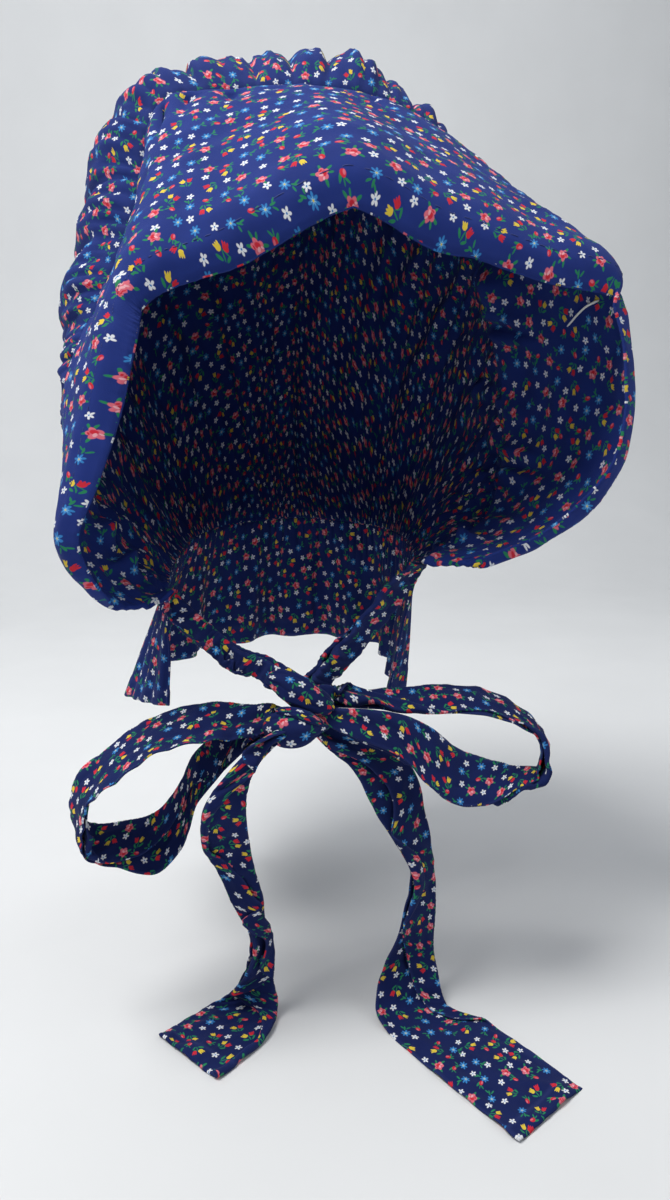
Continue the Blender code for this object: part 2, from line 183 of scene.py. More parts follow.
TAIL_RIGHT = (
    (0.00, 0.00, 0.03, 0.16, -0.06, 0.03),
    (0.13, 0.04, 0.12, 0.32, -0.03, 0.09),
    (0.23, 0.04, 0.19, 0.45, -0.05, 0.17),
    (0.32, 0.04, 0.32, 0.55, -0.05, 0.27),
    (0.41, 0.05, 0.43, 0.58, -0.03, 0.40),
    (0.49, 0.06, 0.56, 0.62, -0.05, 0.56),
    (0.45, 0.05, 0.71, 0.63, -0.05, 0.71),
    (0.38, 0.04, 0.85, 0.63, -0.03, 0.87),
    (0.33, 0.07, 0.97, 0.64, 0.07, 0.97),
    (0.34, 0.19, 1.00, 0.67, 0.15, 1.00),
    (0.45, 0.47, 1.00, 0.79, 0.25, 1.00),
    (0.56, 0.71, 1.00, 0.91, 0.47, 1.00),
    (0.65, 0.91, 1.00, 1.02, 0.69, 1.00),
)

# %% The ties, from a lower corner of the brim to the knot
# Columns: share of the way, across, forward and up to a selvedge, sag.
TIE_LEFT = (
    (0.002, 0.09, -0.02, 0.12, 0.02),
    (0.16, 0.14, 0.00, 0.10, 0.10),
    (0.34, 0.10, -0.04, 0.12, 0.15),
    (0.55, 0.06, 0.04, 0.13, 0.11),
    (0.75, 0.06, 0.06, 0.15, 0.03),
    (1.00, 0.08, 0.02, 0.14, 0.02),
)
TIE_RIGHT = (
    (0.012, -0.16, 0.20, 0.02, 0.02),
    (0.22, -0.19, 0.14, 0.11, 0.06),
    (0.45, -0.18, 0.12, 0.11, 0.16),
    (0.66, -0.16, 0.10, 0.10, 0.22),
    (0.84, -0.14, 0.08, 0.09, 0.24),
    (1.00, -0.14, 0.06, 0.10, 0.12),
)

# %% [markdown]
# ## Lines through the tables
#
# A table row is a place that the cloth passes through. A smooth curve through the rows gives
# every place between them, so the same short table serves a coarse solid and fine cloth.

# %% Smooth paths
def through(values, place):
    """Place 0 is the first row, 1 the second, and so on."""
    last = len(values) - 1
    step = min(max(int(place), 0), last - 1)
    part = place - step
    before = values[max(step - 1, 0)]
    after = values[min(step + 2, last)]
    result = []
    for a, b, c, d in zip(before, values[step], values[step + 1], after):
        slope_in = (c - a) / 2
        slope_out = (d - b) / 2
        cubic = 2 * b - 2 * c + slope_in + slope_out
        square = 3 * c - 3 * b - 2 * slope_in - slope_out
        result.append(((cubic * part + square) * part + slope_in) * part + b)
    return result


def station(table, place):
    """The row of a table whose first column is a section of the brim."""
    marks = [row[0] for row in table]
    step = 0
    while step < len(marks) - 2 and marks[step + 1] <= place:
        step += 1
    part = (place - marks[step]) / (marks[step + 1] - marks[step])
    return through([row[1:] for row in table], step + part)


def ease(low, high, value):
    """0 below low, 1 above high, and a soft slope between."""
    share = min(max((value - low) / (high - low), 0.0), 1.0)
    return share * share * (3 - 2 * share)


def ripple(across, along, seed):
    """Slow uneven change from -1 to 1, the same on every run."""
    return noise.noise(Vector((across, along, seed)))


def crumple(across, along, seed):
    """Sharp uneven ridges with soft hollows between them, from about -1 to 1."""
    return 1 - 4.5 * abs(ripple(across, along, seed))


# %% [markdown]
# ## Laying cloth
#
# Real cloth is a sheet with two faces and a thin edge. One helper lays every piece of the
# bonnet: it asks a function where the middle of the cloth is, lifts a face off each side and
# joins them with a rounded edge. A Solidify modifier does much the same, but here each side can
# keep its own place on the bolt, so the print of the lining isn't a ghost of the outside. The
# same helper marks edges and folds, where navy cotton wears pale, and the same mark paints a
# highlight on the fold edges.

# %% The cloth layer
MIRROR_SHIFT = 0.137


def lay(name, middle, bolt, wear_and_highlight, half):
    """middle is a grid of points, bolt its places on the flat cloth, half the half thickness."""
    columns, rows = middle.shape[0], middle.shape[1]
    along = np.gradient(middle, axis=0)
    across = np.gradient(middle, axis=1)
    facing = np.cross(along, across)
    facing /= np.maximum(np.linalg.norm(facing, axis=2, keepdims=True), 1e-12)
    lift = facing * half[..., None]
    rim = [(i, 0) for i in range(columns)]
    rim += [(columns - 1, j) for j in range(1, rows)]
    rim += [(i, rows - 1) for i in range(columns - 2, -1, -1)]
    rim += [(0, j) for j in range(rows - 2, 0, -1)]
    edge = []
    for i, j in rim:
        out = np.zeros(3)
        for p, q in ((1 if i == 0 else columns - 2, j), (i, 1 if j == 0 else rows - 2)):
            if (p != i and i in (0, columns - 1)) or (q != j and j in (0, rows - 1)):
                step = middle[i, j] - middle[p, q]
                out += step / max(np.linalg.norm(step), 1e-12)
        out /= max(np.linalg.norm(out), 1e-12)
        edge.append(middle[i, j] + out * half[i, j] * 0.8)
    count = columns * rows
    points = np.concatenate([(middle + lift).reshape(-1, 3), (middle - lift).reshape(-1, 3), edge])
    number = np.arange(count).reshape(columns, rows)
    a = number[:-1, :-1].ravel()
    b = number[1:, :-1].ravel()
    c = number[1:, 1:].ravel()
    d = number[:-1, 1:].ravel()
    faces = np.stack([a, b, c, d], 1).tolist()
    faces += (np.stack([d, c, b, a], 1) + count).tolist()
    rim_faces = len(faces)
    for k, (i, j) in enumerate(rim):
        p, q = rim[(k + 1) % len(rim)]
        here, there = number[i, j], number[p, q]
        e, f = 2 * count + k, 2 * count + (k + 1) % len(rim)
        faces.append([int(there), int(here), e, f])
        faces.append([f, e, int(here) + count, int(there) + count])
    flat = bolt.reshape(-1, 2)
    rim_flat = np.array([bolt[i, j] for i, j in rim])
    rim_wear_and_highlight = np.array([wear_and_highlight[i, j] for i, j in rim])
    places = np.concatenate([flat, flat + MIRROR_SHIFT, rim_flat])
    worn_and_highlight = np.concatenate([wear_and_highlight.ravel(), wear_and_highlight.ravel(), rim_wear_and_highlight])
    return sew(name, points, faces, places, worn_and_highlight, rim_faces, count)


def sew(name, points, faces, places, worn_and_highlight, rim_faces=None, count=0):
    """A mesh with its places on the bolt and its mark for wear and painted highlight; the rim keeps
    the outer face's print.
    """
    mesh = bpy.data.meshes.new(name)
    mesh.from_pydata(points.tolist(), [], faces)
    bolt_map = mesh.uv_layers.new(name="bolt")
    corner = np.empty(len(mesh.loops), dtype=np.int32)
    mesh.loops.foreach_get("vertex_index", corner)
    if rim_faces is not None:
        in_rim = np.arange(len(corner)) >= 4 * rim_faces
        inner = (corner >= count) & (corner < 2 * count)
        corner = np.where(in_rim & inner, corner - count, corner)
    bolt_map.data.foreach_set("uv", places[corner].astype(np.float32).ravel())
    mark = mesh.attributes.new("wear_and_highlight", "FLOAT", "POINT")
    mark.data.foreach_set("value", worn_and_highlight.astype(np.float32))
    mesh.shade_smooth()
    mesh.validate()
    piece = bpy.data.objects.new(name, mesh)
    bpy.context.scene.collection.objects.link(piece)
    print(name, "has", len(mesh.vertices), "points and", len(mesh.polygons), "faces")
    return piece


def lengths(grid, axis):
    """Distance along one way of a grid, from its first point."""
    steps = np.linalg.norm(np.diff(grid, axis=axis), axis=2)
    start = np.zeros_like(np.take(steps, [0], axis=axis))
    return np.concatenate([start, np.cumsum(steps, axis=axis)], axis=axis)


# %% [markdown]
# ## The print as shader maths
#
# Ditsy calico is a small all-over print: here white daisies, rosebuds, pairs of tulips and
# forget-me-nots, each a few millimetres across, on navy. A picture of the cloth would be quick,
# but it would blur up close. Worked out from maths, every petal stays sharp at any size.
# The class below wraps one output of a node, so the maths reads as ordinary expressions.

# %% A socket that can be added, multiplied and compared
class Thread:
    """One value on its way through a material."""

    def __init__(self, tree, socket):
        self.tree = tree
        self.socket = socket

    def node(self, kind, settings, links, output=0):
        """Any node: settings are set first, then the values or links of its sockets."""
        made = self.tree.nodes.new(kind)
        for key, value in settings.items():
            setattr(made, key, value)
        for key, value in links.items():
            if isinstance(value, Thread):
                self.tree.links.new(value.socket, made.inputs[key])
            else:
                made.inputs[key].default_value = value
        return Thread(self.tree, made.outputs[output])

    def maths(self, operation, *others):
        links = dict(enumerate((self, *others)))
        return self.node("ShaderNodeMath", {"operation": operation}, links)

    def vector(self, operation, *others, output=0):
        links = dict(enumerate((self, *others)))
        return self.node("ShaderNodeVectorMath", {"operation": operation}, links, output)

    def __add__(self, other):
        return self.maths("ADD", other)

    __radd__ = __add__

    def __sub__(self, other):
        return self.maths("SUBTRACT", other)

    def __rsub__(self, other):
        return self.maths("MULTIPLY_ADD", -1.0, other)

    def __mul__(self, other):
        return self.maths("MULTIPLY", other)

    __rmul__ = __mul__

    def __gt__(self, other):
        return self.maths("GREATER_THAN", other)

    def __lt__(self, other):
        return self.maths("LESS_THAN", other)

    def clamp(self):
        return self.node("ShaderNodeClamp", {}, {"Value": self})

    def axes(self):
        """The x and the y of a vector."""
        x = self.node("ShaderNodeSeparateXYZ", {}, {"Vector": self}, 0)
        return x, Thread(self.tree, x.socket.node.outputs[1])

    def placed(self, across, up, turn, wide, tall):
        """This vector as seen from a small shape that stands there, turned and sized."""
        links = {
            "Vector": self,
            "Location": (across, up, 0.0),
            "Rotation": (0.0, 0.0, math.radians(turn)),
            "Scale": (wide, tall, 1.0),
        }
        return self.node("ShaderNodeMapping", {"vector_type": "TEXTURE"}, links)

    def leaf(self, across, up, turn, wide, tall, sharp=5.0):
        """1 inside an oval, in millimetres of cloth, with a soft printed edge."""
        far = self.placed(across, up, turn, wide, tall).vector("LENGTH", output=1)
        return ((1.0 - far) * sharp).clamp()

    def over(self, other):
        """The greater of two masks."""
        return self.maths("MAXIMUM", other)

    def paint(self, colour, mask):
        """This colour, with another laid over it where the mask is 1."""
        ink = colour if isinstance(colour, Thread) else (*colour, 1.0)
        links = {0: mask, 6: self, 7: ink}
        return self.node("ShaderNodeMix", {"data_type": "RGBA"}, links, 2)


print("print maths is ready")

# %% [markdown]
# ### Where the flowers stand
#
# The printer's repeat sets a large flower and then a small one, like the dark and the light
# squares of a board. Two lattices with the same step do that, one set half a step off the other.
# White noise on a cell's number picks its flower, its turn and a small shift, so no row shows.

# %% The lattice of flowers
STEP = 11.6
LATTICE_TURN = 33.0
SMALL_SHIFT = 0.44
LARGE_SHIFT = 0.28


def lattice(cloth, offset, shift):
    """Place inside a turned cell in millimetres, and a random share that picks its flower."""
    cells = cloth.placed(0.0, 0.0, LATTICE_TURN, STEP, STEP)
    cells = cells.vector("ADD", (offset, offset, 0.0))
    number = cells.vector("FLOOR")
    settings = {"noise_dimensions": "3D"}
    shifted = number.vector("ADD", (offset * 34.6, 4.7, offset * 2.0))
    dice = cloth.node("ShaderNodeTexWhiteNoise", settings, {"Vector": shifted}, 1)
    links = {"Color": dice}
    red = cloth.node("ShaderNodeSeparateColor", {}, links, 0)
    green = Thread(cloth.tree, red.socket.node.outputs[1])
    blue = Thread(cloth.tree, red.socket.node.outputs[2])
    jitter = dice.vector("SUBTRACT", (0.5, 0.5, 0.5)).vector("MULTIPLY", (shift, shift, 0.0))
    local = cells.vector("FRACTION").vector("SUBTRACT", (0.5, 0.5, 0.0)).vector("ADD", jitter)
    local = local.vector("MULTIPLY", (STEP, STEP, 0.0))
    turn = (red * 37.0 + green * 11.0) * 6.2832
    links = {"Vector": local, "Center": (0.0, 0.0, 0.0), "Axis": (0.0, 0.0, 1.0), "Angle": turn}
    turned = cloth.node("ShaderNodeVectorRotate", {"rotation_type": "AXIS_ANGLE"}, links)
    return turned, blue


def petals(place, count, inner, outer, sharp=3.0):
    """A round flower whose rim dips between its petals."""
    x, y = place.axes()
    turn = y.maths("ARCTAN2", x)
    lobe = (turn * (count / 2.0)).maths("COSINE").maths("ABSOLUTE")
    far = place.vector("LENGTH", output=1)
    return ((inner + lobe * (outer - inner) - far) * sharp).clamp()


# %% [markdown]
# ### The flowers
#
# Each flower is drawn as a calico printer cuts it: a few plain blots, one per ink, that overlap
# a little. The inks are cotton dyes, so they are bright but never as bright as paint.

# %% Inks
NAVY = (0.0066, 0.0170, 0.112)
FADED_NAVY = (0.0098, 0.0245, 0.150)
WORN_AND_HIGHLIGHT_NAVY = (0.050, 0.070, 0.230)
WHITE = (0.80, 0.82, 0.86)
YELLOW = (0.78, 0.58, 0.055)
RED = (0.62, 0.022, 0.040)
PINK = (0.74, 0.155, 0.210)
PALE_PINK = (0.86, 0.42, 0.46)
GREEN = (0.020, 0.230, 0.095)
SKY = (0.035, 0.220, 0.560)
PALE_SKY = (0.25, 0.52, 0.78)


def daisy(ground, place, wanted):
    white = petals(place, 5, 0.75, 2.05)
    eye = place.leaf(0, 0, 0, 0.42, 0.42, 3.0)
    return ground.paint(WHITE, white * wanted).paint(SKY, eye * wanted)


def bud(ground, place, wanted):
    leaves = place.leaf(1.3, -0.7, 28, 0.62, 1.9).over(place.leaf(-0.8, -1.9, -48, 0.42, 1.3))
    leaves = leaves.over(place.leaf(0.4, -2.2, 4, 0.28, 1.2))
    ground = ground.paint(GREEN, leaves * wanted)
    ground = ground.paint(RED, place.leaf(0.0, 0.3, 8, 1.15, 1.65) * wanted)
    return ground.paint(PINK, place.leaf(-0.45, 0.5, 12, 0.55, 1.15, 3.0) * wanted)


def rose(ground, place, wanted):
    leaves = place.leaf(2.9, 1.3, -58, 0.62, 1.45).over(place.leaf(-2.6, 1.9, 50, 0.62, 1.4))
    leaves = leaves.over(place.leaf(0.5, -3.2, 12, 0.60, 1.4)).over(
        place.leaf(-2.6, -1.6, 118, 0.55, 1.3)
    )
    leaves = leaves.over(place.leaf(2.2, -2.2, -128, 0.50, 1.2))
    ground = ground.paint(GREEN, leaves * wanted)
    ground = ground.paint(PINK, petals(place, 5, 1.85, 2.75) * wanted)
    ground = ground.paint(RED, place.leaf(0.35, -0.5, 24, 1.35, 1.10, 3.0) * wanted)
    hearts = place.leaf(-0.2, 0.55, 62, 0.60, 1.05, 3.0)
    hearts = hearts.over(place.leaf(1.35, 0.95, -30, 0.42, 0.75, 3.0))
    ground = ground.paint(PALE_PINK, hearts * wanted)
    return ground.paint(RED, place.leaf(-1.35, -0.65, 10, 0.42, 0.80, 3.0) * wanted)


def tulip(place, across, up, turn):
    """A cup with three pointed tips."""
    own = place.placed(across, up, turn, 1.0, 1.0)
    cup = own.leaf(0, -0.15, 0, 1.25, 1.30, 6.0)
    tips = own.leaf(-0.78, 0.80, 14, 0.42, 1.10).over(own.leaf(0.78, 0.80, -14, 0.42, 1.10))
    return cup.over(tips).over(own.leaf(0, 0.75, 0, 0.40, 1.15))


def tulip_pair(ground, place, wanted):
    stems = place.leaf(0.6, -1.9, 18, 0.30, 2.0).over(place.leaf(-0.9, -1.7, -30, 0.26, 1.6))
    leaves = stems.over(place.leaf(2.5, -1.5, -32, 0.62, 1.7))
    leaves = leaves.over(place.leaf(-0.6, -3.3, 62, 0.52, 1.5))
    ground = ground.paint(GREEN, leaves * wanted)
    ground = ground.paint(RED, tulip(place, -1.75, -0.35, 34) * wanted)
    return ground.paint(YELLOW, tulip(place, 1.05, 0.95, -10) * wanted)


def forget_me_not(ground, place, wanted):
    sprig = place.leaf(2.9, -0.8, 78, 0.48, 1.5).over(place.leaf(3.3, 0.9, 128, 0.44, 1.3))
    sprig = sprig.over(place.leaf(3.5, -2.1, 34, 0.42, 1.3))
    ground = ground.paint(GREEN, sprig * wanted)
    bloom = place.placed(-0.7, 0.2, 0, 1, 1)
    ground = ground.paint(SKY, petals(bloom, 7, 1.05, 2.55) * wanted)
    ground = ground.paint(PALE_SKY, petals(bloom, 7, 0.35, 1.25, 2.0) * wanted)
    return ground.paint(YELLOW, bloom.leaf(0, 0, 0, 0.42, 0.42, 3.0) * wanted)


print("flowers:", 2, "small and", 3, "large")

# %% [markdown]
# ### The cloth itself
#
# Under the print is a plain weave with a soft dull face. Slow noise fades the dye in patches as
# washing does. Pressed folds and edges are marked paler, as wear and as a painted highlight, and
# the colour is darker between the fine threads as painted shade. The weave also goes through a
# Bump node, because its threads are far finer than the mesh. The navy of the brim and the crown
# is made paler as painted light, and the navy of the bow in their shade darker as painted shade.

# %% One calico for every piece
THREAD_PITCH = 0.42
# Painted light and shade: the brim's and the crown's navy is scaled up as painted light, the bow's is
# scaled down as painted shade.
BRIM_PAINTED_LIGHT = 1.50
CROWN_PAINTED_LIGHT = 1.30
BOW_PAINTED_SHADE = 0.68


def calico(name, size=0.90, painted_lighting=1.0):
    """Printed cotton for one piece: how large its print is, and how much painted light (above 1) or
    painted shade (below 1) scales its navy.
    """
    cloth_material = bpy.data.materials.new(name)
    cloth_material.use_nodes = True
    tree = cloth_material.node_tree
    shader = tree.nodes["Principled BSDF"]
    start = Thread(tree, None)
    flat = start.node("ShaderNodeUVMap", {"uv_map": "bolt"}, {})
    cloth = flat.vector("MULTIPLY", (1000.0, 1000.0, 0.0))
    printed = cloth.vector("MULTIPLY", (1 / size, 1 / size, 0.0))
    wear_and_highlight = start.node("ShaderNodeAttribute", {"attribute_name": "wear_and_highlight"}, {}, 2)
    fade = start.node("ShaderNodeTexNoise", {}, {"Vector": cloth, "Scale": 0.045, "Detail": 3.0})
    fleck = start.node("ShaderNodeTexNoise", {}, {"Vector": cloth, "Scale": 0.9, "Detail": 2.0})
    # The navy is scaled by the piece's painted lighting: painted light above 1, painted shade below
    # 1.
    deep = (*(painted_lighting * value for value in NAVY), 1.0)
    pale = (*(painted_lighting * value for value in FADED_NAVY), 1.0)
    ground = start.node(
        "ShaderNodeMix", {"data_type": "RGBA"},
        {0: (fade * 2.2 - 0.6).clamp(), 6: deep, 7: pale}, 2,
    )
    # Marked edges and folds are painted paler: partly wear, partly a painted highlight on the fold
    # edges.
    ground = ground.paint(WORN_AND_HIGHLIGHT_NAVY, (wear_and_highlight * (0.35 + fleck * 0.5)).clamp())
    place, pick = lattice(printed, 0.0, SMALL_SHIFT)
    ground = daisy(ground, place, pick > 0.36)
    ground = bud(ground, place, pick < 0.36)
    place, pick = lattice(printed, 0.5, LARGE_SHIFT)
    ground = rose(ground, place, pick < 0.36)
    ground = tulip_pair(ground, place, (pick > 0.36) * (pick < 0.69))
    ground = forget_me_not(ground, place, pick > 0.69)
    x, y = cloth.axes()
    warp = (x * (6.2832 / THREAD_PITCH)).maths("SINE")
    weft = (y * (6.2832 / THREAD_PITCH)).maths("SINE")
    weave = warp * weft * 0.5 + fleck * 0.6
    # Painted shade: the colour is darkened where the weave is low, between the threads, with random
    # fleck tone mixed in.
    ground = ground.paint((0.004, 0.006, 0.03), (0.20 - weave * 0.20).clamp())
    bump = start.node(
        "ShaderNodeBump", {}, {"Strength": 0.35, "Distance": 0.00025, "Height": weave}
    )
    tree.links.new(ground.socket, shader.inputs["Base Color"])
    tree.links.new(bump.socket, shader.inputs["Normal"])
    rough = 0.78 + fleck * 0.14
    tree.links.new(rough.socket, shader.inputs["Roughness"])
    shader.inputs["Sheen Weight"].default_value = 0.03
    shader.inputs["Sheen Roughness"].default_value = 0.45
    shader.inputs["Specular IOR Level"].default_value = 0.14
    print(name, "uses", len(tree.nodes), "nodes")
    return cloth_material


def dress(piece, node, material, flat=None):
    """Gives a piece its cloth, hangs it under the root, and hides the solid named node when flat is
    given.
    """
    piece.data.materials.append(material)
    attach(piece, "root")
    if flat:
        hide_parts(node)


# %% [markdown]
# ## The brim
#
# The brim is two layers of calico with a stiffener between them. It starts at the crown's seam,
# runs forward in straight rules like the side of a tent, and its front edge is turned under, so
# the last centimetre rolls down and looks darker. It was cut flat, so the straight rules can be
# unrolled again: each strip is laid beside the last one on the bolt, which keeps the print in
# its true size. Projecting the print from above would be quicker but would smear the sides.

# %% Where the brim lies
ROLL_HEIGHT = 0.0062
ROLL_START = 0.86
DENT = 0.0012
SEAM_FOLD = 0.0078
SEAM_FOLD_PITCH = 0.019
PEAK = 11.0
PEAK_REACH = 1.25
FLATTER_LEFT = 0.0015
FLATTER_RIGHT = 0.0036


def brim_line(place):
    row = through(BRIM_SECTIONS, place)
    seam = Vector((row[0] * HALF_WIDTH, -row[1] * BRIM_REACH, -row[2] * BRIM_DROP))
    edge = Vector((row[3] * HALF_WIDTH, -row[4] * BRIM_REACH, -row[5] * BRIM_DROP))
    return seam, edge, row[6] * BRIM_REACH


def brim_point(along, out):
    seam, edge, bow = brim_line(along * SECTIONS)
    point = seam.lerp(edge, out)
    away = Vector((point.x, 0.0, point.z + 0.5 * BRIM_DROP)).normalized()
    return point + away * bow * 4 * out * (1 - out)


def seam_fold(along, out):
    """Creases that the gathered crown pulls into the brim, deepest just off the seam."""
    turn = along * 0.62 / SEAM_FOLD_PITCH + 0.9 * ripple(along * 30, 0.0, 12.0)
    crease = 1 - abs(math.sin(math.pi * turn)) ** 0.85
    strength = max(0.45 + 1.7 * ripple(along * 21, out * 1.5, 15.3), 0.0)
    reach = 0.24 + 0.30 * ripple(along * 17, 0.0, 18.0)
    return crease * strength * ease(0.0, 0.04, out) * (1 - ease(0.02, 0.14 + reach, out))


def brim_away(along, out):
    """The way that the brim's outer face looks."""
    seam, edge, bow = brim_line(along * SECTIONS)
    side = brim_point(min(along + 0.004, 1.0), out) - brim_point(max(along - 0.004, 0.0), out)
    away = side.cross(edge - seam).normalized()
    point = brim_point(along, out)
    if away.dot(Vector((point.x, 0.0, point.z + 0.5 * BRIM_DROP))) < 0:
        away = -away
    return away


def brim_cloth(along, out):
    """The brim with its rolled front edge and soft dents."""
    point = brim_point(along, out)
    aside = along * SECTIONS - PEAK
    if abs(aside) < PEAK_REACH:
        share = abs(aside) / PEAK_REACH
        drop = FLATTER_LEFT if aside < 0 else FLATTER_RIGHT
        point.z -= drop * 4 * share * (1 - share) * out ** 3
    seam, edge, bow = brim_line(along * SECTIONS)
    rule = (edge - seam).normalized()
    away = brim_away(along, out)
    held = ease(0.0, 0.2, along) * ease(0.0, 0.2, 1 - along)
    if out > ROLL_START:
        roll = 1 - ((out - ROLL_START) / (1 - ROLL_START)) ** 2
    else:
        roll = ease(0.35, ROLL_START, out)
    middle = ease(0.0, 0.25, out) * ease(0.0, 0.12, 1 - out)
    dent = ripple(along * 26, out * 2.2, 3.1) + 0.5 * ripple(along * 61, out * 4.0, 8.4)
    lift = ROLL_HEIGHT * roll * (0.35 + 0.65 * held) + DENT * dent * middle
    lift -= SEAM_FOLD * seam_fold(along, out)
    near_seam = ease(0.0, 0.05, out) * (1 - ease(0.05, 0.40, out))
    lift += 0.0009 * crumple(along * 34, out * 5, 21.0) * near_seam
    lift += 0.0005 * crumple(along * 16, out * 6, 23.0) * middle
    lift -= 0.0028 * ease(0.94, 1.0, out)
    pucker = 0.0003 * math.sin(along * 1180 + 3 * ripple(along * 50, 0.0, 2.0))
    return point + away * lift + rule * pucker * ease(0.965, 1.0, out)


def unrolled(starts, ends):
    """Lays the rules of a folded strip flat beside each other and returns both borders."""
    near = [Vector((0.0, 0.0))]
    far = [Vector((0.0, (ends[0] - starts[0]).length))]
    for k in range(1, len(starts)):
        top = third_corner(near[-1], far[-1], starts[k] - starts[k - 1], starts[k] - ends[k - 1])
        near.append(top)
        far.append(third_corner(top, far[-1], ends[k] - starts[k], ends[k] - ends[k - 1]))
    return near, far


def third_corner(a, b, from_a, from_b):
    """The corner of a triangle on the right of the line from a to b."""
    base = (b - a).length
    along = (base * base + from_a.length_squared - from_b.length_squared) / (2 * base)
    height = math.sqrt(max(from_a.length_squared - along * along, 0.0))
    way = (b - a) / base
    return a + way * along + Vector((way.y, -way.x)) * height


# %% The brim's mesh
BRIM_COLUMNS = 300
BRIM_ROWS = 56


def grid_of(columns, rows, place):
    return np.array([[place(i / columns, j / rows) for j in range(rows + 1)]
                     for i in range(columns + 1)])


def make_brim():
    middle = grid_of(BRIM_COLUMNS, BRIM_ROWS, brim_cloth)
    starts = [Vector(p) for p in middle[:, 0]]
    ends = [Vector(p) for p in middle[:, -1]]
    near, far = unrolled(starts, ends)
    share = np.linspace(0, 1, BRIM_ROWS + 1)[None, :, None]
    bolt = np.array(near)[:, None, :] * (1 - share) + np.array(far)[:, None, :] * share
    span = np.ptp(bolt.reshape(-1, 2), axis=0)
    out = np.linspace(0, 1, BRIM_ROWS + 1)[None, :]
    along = np.linspace(0, 1, BRIM_COLUMNS + 1)[:, None]
    # A thin mark for wear and painted highlight along the front edge.
    border = np.clip((out - 0.975) / 0.025, 0, 1) + 0 * along
    half = 0.0012 - 0.0005 * np.clip((out - 0.93) / 0.07, 0, 1) + 0 * along
    piece = lay("brim_cloth", middle, bolt, border * 0.10, half)
    a = np.array(near)
    b = np.array(far)
    loop = np.concatenate([a, b[::-1]])
    x, y = loop[:, 0], loop[:, 1]
    area = abs(np.dot(x, np.roll(y, 1)) - np.dot(y, np.roll(x, 1))) / 2
    print("flat brim:", span.round(3), "m, area", round(float(area), 4), "square metres")
    return piece, (float(span[0]), float(span[1])), float(area)


brim, brim_flat, brim_area = make_brim()
dress(brim, "brim", calico("brim_calico", painted_lighting=BRIM_PAINTED_LIGHT), flat=brim_flat)

# %% [markdown]
# ## The crown
#
# The crown is one large piece of thin calico, gathered by a running thread to fit the short seam
# behind the brim and again at the nape. Gathers start as fine pleats at the thread, then merge
# into puffs about two centimetres wide with round tops and sharp valleys between them. Cloth
# simulation could find such folds, but they would move with every change. Here a table says
# where the valleys are, so the outline of the puffs stays as the real one.

# %% Where the crown lies
PUFF_VALLEYS = (
    0.0, 1.0, 2.0, 3.0, 4.1, 5.3, 6.35, 7.2, 8.15, 9.65, 10.48, 10.9, 11.37, 12.2, 12.7, 13.5,
    14.3, 15.3, 16.3, 17.3, 18.3, 19.3, 20.3, 21.2, 22.0,
)
PUFF_HEIGHTS = (
    1.2, 1.8, 2.4, 3.2, 4.0, 5.0, 4.6, 4.4, 5.2, 6.2, 4.6, 5.6, 7.0, 2.6, 3.6, 3.0,
    3.0, 3.0, 3.0, 2.8, 2.6, 2.4, 1.8, 1.0,
)
GATHER_PITCH = 0.0064
GATHER_HEIGHT = 0.0010
PLEAT_PITCH = 0.0125
PLEAT_HEIGHT = 0.0019
FOLD_HEIGHT = 0.0036
CRUMPLE = 0.0012
CLOTH_GAP = 0.0005
CROWN_COLUMNS = 560
CROWN_ROWS = 54
CROWN_FULLNESS = 1.22


def seam_start(along):
    start = brim_point(along, 0.0)
    way = (start - brim_point(along, 0.12)).normalized()
    return start + way * CLOTH_GAP


seam_line = np.array([seam_start(k / 1100) for k in range(1101)])
seam_length = np.concatenate([[0], np.cumsum(np.linalg.norm(np.diff(seam_line, axis=0), axis=1))])


def along_seam(along):
    """Metres along the seam from the right jaw."""
    return float(np.interp(along * 1100, np.arange(1101), seam_length))


def puff(place):
    """Round tops and sharp valleys, in metres."""
    step = 0
    while step < len(PUFF_HEIGHTS) - 1 and PUFF_VALLEYS[step + 1] <= place:
        step += 1
    share = (place - PUFF_VALLEYS[step]) / (PUFF_VALLEYS[step + 1] - PUFF_VALLEYS[step])
    share = min(max(share, 0.0), 1.0)
    lean = (0.78, 1.35, 0.92, 1.6, 0.7)[step % 5]
    share = share ** lean
    return PUFF_HEIGHTS[step] * 0.001 * (4 * share * (1 - share)) ** 0.8


def nape_point(place):
    row = station(CROWN_STATIONS, place)
    return Vector((row[0] * HALF_WIDTH, row[1] * CROWN_BACK, -row[2] * BRIM_DROP))


def crown_base(along, out):
    place = along * SECTIONS
    row = station(CROWN_STATIONS, place)
    start = seam_start(along)
    end = nape_point(place)
    leave = Vector((row[3] * HALF_WIDTH, row[4] * CROWN_BACK, row[5] * CROWN_PUFF))
    arrive = Vector((row[6] * HALF_WIDTH, row[7] * CROWN_BACK, row[8] * BRIM_DROP))
    rest = 1 - out
    point = start * rest ** 3 + (start + leave) * 3 * rest ** 2 * out
    return point + (end + arrive) * 3 * rest * out ** 2 + end * out ** 3


